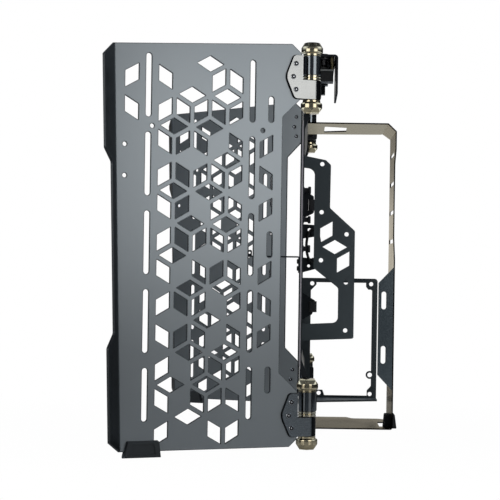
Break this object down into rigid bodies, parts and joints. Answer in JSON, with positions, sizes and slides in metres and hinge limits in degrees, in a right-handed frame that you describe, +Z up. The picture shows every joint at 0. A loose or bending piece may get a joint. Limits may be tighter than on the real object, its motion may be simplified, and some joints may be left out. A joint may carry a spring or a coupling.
{
  "type": "open air test bench",
  "caption": "Upright open air computer test bench: a core panel with a hoop stand and two perforated wings on friction hinges.",
  "frame": {"origin": "on the table, under the middle of the bounding box", "axes": "+Z up, +X from the board side to the power supply side, -Y towards the right wing, which is nearest in the picture"},
  "size_m": [0.299, 0.6776, 0.4066],
  "materials": {
    "wing_gunmetal": "satin metallic gunmetal powder coat",
    "panel_black": "fine textured black powder coat",
    "bracket_slate": "satin slate powder coat",
    "hoop_paint": "satin black powder coat",
    "foot_rubber": "moulded matte rubber",
    "black_screw": "black oxide",
    "io_black": "fine textured black",
    "circuit_board": "lacquered board",
    "brass_spacer": "plain turned",
    "port_shell": "plated",
    "port_plastic": "moulded",
    "button_cap": "smooth",
    "clip_plastic": "moulded",
    "band_rubber": "elastic cord",
    "strap_fabric": "woven strap",
    "leaf_screw_steel": "plated",
    "leaf_silver": "satin anodised",
    "leaf_slate": "satin anodised slate",
    "barrel_black": "polished black",
    "ring_gold": "champagne gold",
    "knob_champagne": "champagne anodised",
    "pin_steel": "ground",
    "block_plastic": "moulded"
  },
  "bodies": {
    "core": {"accessory_bracket": "bracket_slate", "audio_jack": "port_plastic", "band_hooks": "panel_black", "button_switches": "port_plastic", "cable_bobbins": "clip_plastic", "card_support": "panel_black", "core_panel": "panel_black", "ear_block_screws": "black_screw", "header_sockets": "port_plastic", "hoop_foot_far": "foot_rubber", "hoop_foot_near": "foot_rubber", "hoop_stand": "hoop_paint", "io_board": "circuit_board", "io_housing": "io_black", "io_spacers": "brass_spacer", "left_lower_barrel": "barrel_black", "left_lower_bottom_knob": "knob_champagne", "left_lower_ear_block": "block_plastic", "left_lower_friction_rings": "ring_gold", "left_lower_pin": "pin_steel", "left_lower_top_knob": "knob_champagne", "left_upper_barrel": "barrel_black", "left_upper_bottom_knob": "knob_champagne", "left_upper_ear_block": "block_plastic", "left_upper_friction_rings": "ring_gold", "left_upper_pin": "pin_steel", "left_upper_top_knob": "knob_champagne", "panel_screws": "black_screw", "psu_bracket": "bracket_slate", "retaining_band": "band_rubber", "right_lower_barrel": "barrel_black", "right_lower_bottom_knob": "knob_champagne", "right_lower_ear_block": "block_plastic", "right_lower_friction_rings": "ring_gold", "right_lower_pin": "pin_steel", "right_lower_top_knob": "knob_champagne", "right_upper_barrel": "barrel_black", "right_upper_bottom_knob": "knob_champagne", "right_upper_ear_block": "block_plastic", "right_upper_friction_rings": "ring_gold", "right_upper_pin": "pin_steel", "right_upper_top_knob": "knob_champagne", "tie_straps": "strap_fabric", "usb_a_ports": "port_shell", "usb_c_port": "port_shell"},
    "right_wing": {"right_wing_panel": "wing_gunmetal", "right_upper_leaf": "leaf_silver", "right_lower_leaf": "leaf_slate", "right_leaf_screws": "leaf_screw_steel", "right_leaf_nuts": "leaf_screw_steel", "right_wing_foot": "foot_rubber"},
    "left_wing": {"left_wing_panel": "wing_gunmetal", "left_upper_leaf": "leaf_silver", "left_lower_leaf": "leaf_slate", "left_leaf_screws": "leaf_screw_steel", "left_leaf_nuts": "leaf_screw_steel", "left_wing_foot": "foot_rubber"},
    "power_button_body": {"power_button": "button_cap"},
    "reset_button_body": {"reset_button": "button_cap"}
  },
  "joints": [
    {"name": "right_wing_hinge", "type": "hinge", "parent": "core", "child": "right_wing", "pos_m": [0.04503, -0.235, 0.2], "axis": [0, 0, 1], "range_deg": [-21.76, 68.24]},
    {"name": "left_wing_hinge", "type": "hinge", "parent": "core", "child": "left_wing", "pos_m": [0.04503, 0.235, 0.2], "axis": [0, 0, -1], "range_deg": [-21.76, 68.24]},
    {"name": "power_button_press", "type": "slide", "parent": "core", "child": "power_button_body", "axis": [0, 0, 1], "range_m": [-0.001, 0], "stiffness_N_per_m": 400, "springref_m": 0.001},
    {"name": "reset_button_press", "type": "slide", "parent": "core", "child": "reset_button_body", "axis": [0, 0, 1], "range_m": [-0.001, 0], "stiffness_N_per_m": 400, "springref_m": 0.001}
  ]
}
